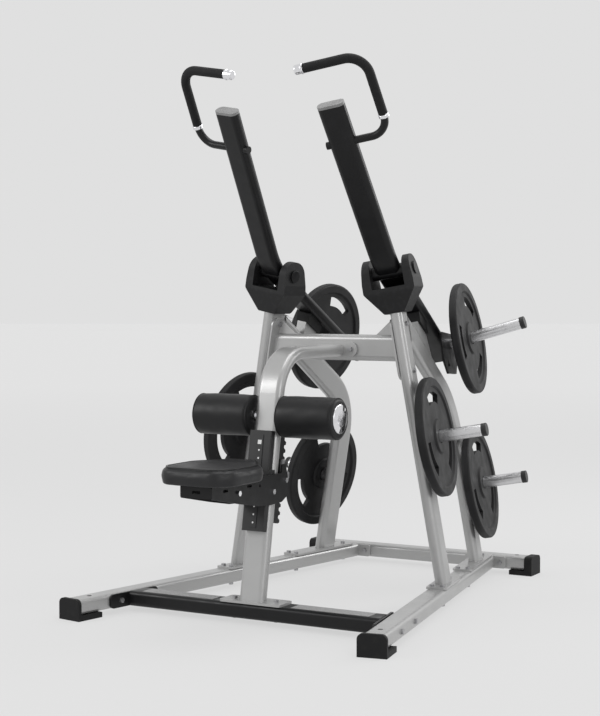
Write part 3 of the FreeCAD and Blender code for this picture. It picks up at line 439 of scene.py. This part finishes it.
def cushion_loops():
    """The cushion's sections from its underside to its slightly domed top."""
    top = SEAT_HIGH.z
    shoulder = top - CHAMFER
    loops = [seat_outline(SEAT_INSET + 0.004, SEAT_LOW.z + 0.001),
             seat_outline(SEAT_INSET, SEAT_LOW.z + 0.005),
             seat_outline(SEAT_INSET - 0.002, (SEAT_LOW.z + top - CHAMFER) / 2),
             seat_outline(SEAT_INSET, shoulder - 0.002),
             seat_outline(SEAT_INSET + CHAMFER, top - 0.004)]
    for step in range(1, 5):
        loops.append(seat_outline(SEAT_INSET + CHAMFER + 0.016 * step, top - 0.004 + 0.0008 * step))
    return loops


def make_seat():
    """The seat: a chamfered cushion, slightly swollen by its foam, with a sewn edge round the top."""
    seat = bpy.data.objects.new("seat_cushion", loop_mesh("seat_cushion", cushion_loops()))
    bpy.context.scene.collection.objects.link(seat)
    swell(seat)
    relax(seat)
    smooth(seat.data)
    seat.data.set_sharp_from_angle(angle=math.radians(28))
    paint(seat, SEAT)
    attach(seat, "seat_carriage")
    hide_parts("seat_pad")
    seam = seat_outline(CHAMFER + 0.003, SEAT_HIGH.z - 0.0035)
    bead("seat_top_seam", seam, SEAM_RADIUS, "seat_carriage", WELT)


# ---- Thigh rollers --------------------------------------------------------------------------------

ROLLER_STEPS = 96
SEAM_STEPS = 72
SHOULDER_STEPS = 8
CROWN_STEPS = 12
SHOULDER = 0.014
ROLLER_BORE = 0.0128
CROWN = 0.0012
RIPPLE = 0.0005


def roller_profile(radius, long):
    """Half section of a roller as (along, out): flat ends, round shoulders and a slight crown."""
    end = [(0.0, ROLLER_BORE), (0.0, radius * 0.40)]
    for step in range(SHOULDER_STEPS + 1):
        turn = math.pi / 2 * step / SHOULDER_STEPS
        along = SHOULDER - SHOULDER * math.cos(turn)
        end.append((along, radius - SHOULDER + SHOULDER * math.sin(turn) - CROWN))
    crown = []
    for step in range(1, CROWN_STEPS):
        along = SHOULDER + (long - 2 * SHOULDER) * step / CROWN_STEPS
        crown.append((along, radius - CROWN + CROWN * math.sin(math.pi * step / CROWN_STEPS)))
    return end + crown + [(long - along, out) for along, out in reversed(end)]


def make_roller(side):
    """A foam roller: a crowned cover with tight shoulders, two seams and a slightly uneven skin."""
    low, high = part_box(f"roller_foam_{side}")
    middle = (low + high) / 2
    radius = (high.z - low.z) / 2
    long = high.x - low.x
    outward = 1 if middle.x > 0 else -1
    loops = []
    for along, out in roller_profile(radius, long):
        x = low.x + along if outward > 0 else high.x - along
        ring = []
        for step in range(ROLLER_STEPS):
            turn = 2 * math.pi * step / ROLLER_STEPS
            ripple = RIPPLE * math.sin(5 * turn + along * 60) if out > radius * 0.6 else 0.0
            reach = out - ripple
            ring.append((x, middle.y + reach * math.cos(turn), middle.z + reach * math.sin(turn)))
        loops.append(ring)
    shape = loop_mesh(f"roller_cover_{side}", loops, capped=False)
    join_ends(shape)
    smooth(shape)
    roller = new_object(f"roller_cover_{side}", shape, f"roller_{side}", FOAM)
    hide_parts(f"roller_foam_{side}")
    seam_radius = radius - SHOULDER * 0.13
    for name, along in (("inner", SHOULDER * 0.55), ("outer", long - SHOULDER * 0.55)):
        x = low.x + along if outward > 0 else high.x - along
        turns = [2 * math.pi * step / SEAM_STEPS for step in range(SEAM_STEPS)]
        ring = [(x, middle.y + seam_radius * math.cos(turn), middle.z + seam_radius * math.sin(turn))
                for turn in turns]
        bead(f"roller_seam_{name}_{side}", ring, SEAM_RADIUS, f"roller_{side}", WELT)


def join_ends(mesh):
    """Close the bore of a turned skin by joining its two open rims with a strip of faces."""
    shape = bmesh.new()
    shape.from_mesh(mesh)
    rims = [edge for edge in shape.edges if edge.is_boundary]
    bmesh.ops.bridge_loops(shape, edges=rims)
    bmesh.ops.recalc_face_normals(shape, faces=shape.faces)
    shape.to_mesh(mesh)
    shape.free()


# ---- Marks and caps -------------------------------------------------------------------------------


def make_position_marks():
    """A plain white square near the top of the seat guide and a row of small white dots below it."""
    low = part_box("position_strip")[0]
    up = Vector((0, math.sin(COLUMN_LEAN), math.cos(COLUMN_LEAN)))
    foot = Vector((0, low.y + 0.0003, low.z + 0.0004))
    lean = Matrix.Rotation(-COLUMN_LEAN, 4, "X")
    face_front = Matrix.Rotation(math.pi / 2, 4, "X")
    square_up = 0.303
    square_wide = 0.015
    first_dot = 0.018
    dot_pitch = 0.0285
    dot_radius = 0.0034
    thick = 0.0012
    shape = bmesh.new()
    size = Matrix.Diagonal((square_wide, thick, square_wide, 1))
    square = Matrix.Translation(foot + up * square_up) @ lean @ size
    bmesh.ops.create_cube(shape, size=1.0, matrix=square)
    for mark in range(10):
        spot = Matrix.Translation(foot + up * (first_dot + dot_pitch * mark)) @ lean @ face_front
        bmesh.ops.create_cone(shape, segments=24, radius1=dot_radius, radius2=dot_radius, depth=thick,
                              cap_ends=True, matrix=spot)
    mesh = to_mesh("position_marks", shape)
    new_object("position_marks", mesh, "frame", WHITE_PRINT)


def horn_axis(outward, rise):
    """The way a horn points: out to its side, back by the splay and up by its rise."""
    flat = math.cos(rise)
    return Vector((outward * flat * math.cos(SPLAY), flat * math.sin(SPLAY), math.sin(rise)))


def add_sleeve(name, body, centre, axis, long):
    """A black sleeve round a horn; the count of meshes keeps the pieces' names apart."""
    radius = 0.0243
    turn = axis.to_track_quat("Z", "Y").to_matrix().to_4x4()
    shape = bmesh.new()
    bmesh.ops.create_cone(shape, segments=48, radius1=radius, radius2=radius, depth=long,
                          cap_ends=True, matrix=Matrix.Translation(centre) @ turn)
    mesh = to_mesh("cap_sleeve", shape)
    number = len(bpy.data.meshes)
    new_object(f"cap_sleeve_{name}_{number}", mesh, body, BLACK_PLASTIC)


def blacken_tips(name, body, rise):
    """Paint a horn node's end caps black, and carry each cap a little way down its horn."""
    cap = 0.0085
    sleeve = 0.012
    overlap = 0.001
    node = nodes[name]
    paint(node, HORN, BLACK_PLASTIC)
    for group in islands(node.data):
        spots = [node.data.vertices[index].co for index in group]
        outward = 1 if sum(spot.x for spot in spots) > 0 else -1
        axis = horn_axis(outward, rise)
        far = max(spot.dot(axis) for spot in spots)
        members = set(group)
        for polygon in node.data.polygons:
            if polygon.vertices[0] in members and polygon.center.dot(axis) > far - cap:
                polygon.material_index = 1
        tip = [spot for spot in spots if spot.dot(axis) > far - 0.0001]
        centre = sum(tip, Vector()) / len(tip) - axis * (cap + sleeve / 2 - overlap)
        add_sleeve(name, body, centre, axis, sleeve)


def islands(mesh):
    """Vertex numbers of each separate solid: near copies of a vertex count as one."""
    parent = list(range(len(mesh.vertices)))

    def root(index):
        while parent[index] != index:
            parent[index] = parent[parent[index]]
            index = parent[index]
        return index

    seen = {}
    for vertex in mesh.vertices:
        key = tuple(round(value, 5) for value in vertex.co)
        parent[root(vertex.index)] = root(seen.setdefault(key, vertex.index))
    for edge in mesh.edges:
        parent[root(edge.vertices[0])] = root(edge.vertices[1])
    groups = {}
    for index in range(len(parent)):
        groups.setdefault(root(index), []).append(index)
    return list(groups.values())


# ---- Studio ---------------------------------------------------------------------------------------


def make_floor():
    """A wide, plain, pale floor that runs out to the horizon."""
    shape = bmesh.new()
    bmesh.ops.create_grid(shape, x_segments=1, y_segments=1, size=60.0)
    floor = bpy.data.objects.new("floor", to_mesh("floor", shape))
    bpy.context.scene.collection.objects.link(floor)
    paint(floor, studio_grey())


def area_light(name, place, target, power, width, height):
    """A soft box at a place, turned to a target."""
    light = bpy.data.lights.new(name, "AREA")
    light.shape = "RECTANGLE"
    light.size = width
    light.size_y = height
    light.energy = power
    item = bpy.data.objects.new(name, light)
    item.location = place
    aim = Vector(target) - Vector(place)
    item.rotation_euler = aim.to_track_quat("-Z", "Y").to_euler()
    bpy.context.scene.collection.objects.link(item)


def make_studio():
    """Even pale surroundings, a large key on the left, a fill on the right, a top and a back light."""
    scene = bpy.context.scene
    world = bpy.data.worlds.new("studio")
    world.use_nodes = True
    surroundings = world.node_tree.nodes["Background"]
    surroundings.inputs["Color"].default_value = (0.745, 0.745, 0.745, 1)
    surroundings.inputs["Strength"].default_value = 1.0
    scene.world = world
    scene.view_settings.view_transform = "Standard"
    middle = (0, 0, 0.9)
    area_light("key", (-3.6, -4.2, 3.4), middle, 100, 2.4, 2.4)
    area_light("fill", (4.6, -2.6, 2.2), middle, 45, 2.0, 2.6)
    area_light("top", (0.4, 0.2, 4.6), middle, 70, 3.0, 3.0)
    area_light("rim", (2.6, 3.6, 2.8), middle, 60, 1.6, 2.4)


def make_camera():
    """The camera, level but for a slight tilt down, looking back and to the left."""
    swing = math.radians(29.204)
    dip = math.radians(2.354)
    camera = bpy.data.objects.new("camera", bpy.data.cameras.new("camera"))
    camera.location = (2.8573, -5.2933, 1.1696)
    look = Vector((-math.sin(swing) * math.cos(dip), math.cos(swing) * math.cos(dip), -math.sin(dip)))
    camera.rotation_euler = look.to_track_quat("-Z", "Y").to_euler()
    camera.data.sensor_fit = "HORIZONTAL"
    camera.data.sensor_width = 36.0
    camera.data.lens = 95.0
    camera.data.clip_end = 60.0
    bpy.context.scene.collection.objects.link(camera)
    bpy.context.scene.camera = camera


make_camera()
make_seat()
for roller_side in SIDES:
    make_roller(roller_side)
make_position_marks()
blacken_tips("storage_horns", "frame", SIDE_LEAN)
for horn_side in SIDES:
    blacken_tips(f"load_horn_{horn_side}", f"arm_{horn_side}", SIDE_LEAN + LOAD_HORN_TILT)
make_floor()
make_studio()
